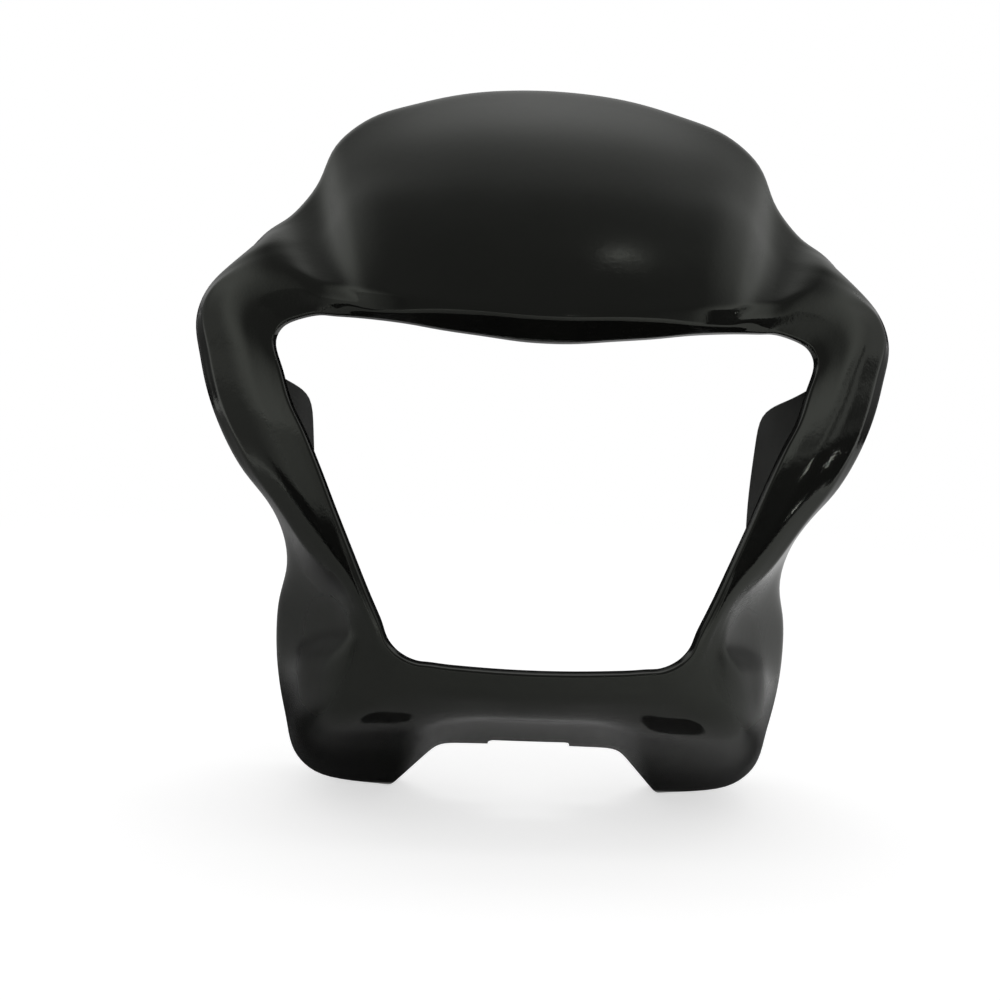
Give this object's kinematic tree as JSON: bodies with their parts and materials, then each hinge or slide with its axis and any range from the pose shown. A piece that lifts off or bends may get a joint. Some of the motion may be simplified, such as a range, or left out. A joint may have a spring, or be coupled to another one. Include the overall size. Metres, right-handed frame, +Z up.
{
  "type": "motorcycle headlight mask",
  "caption": "One-piece moulded motorcycle headlight mask with a domed top, swept wings and cheeks round a large headlamp opening, and side ears for bolting on.",
  "frame": {"origin": "middle of the bounding box at its base, under the tips of the two lower lobes", "axes": "+Z up, -Y towards the front of the motorcycle, +X to the right as seen from the front"},
  "size_m": [0.3172, 0.1266, 0.3424],
  "materials": {
    "gloss_black_shell": "high-gloss black moulded plastic"
  },
  "bodies": {
    "root": {"mask_shell": "gloss_black_shell"}
  },
  "joints": []
}
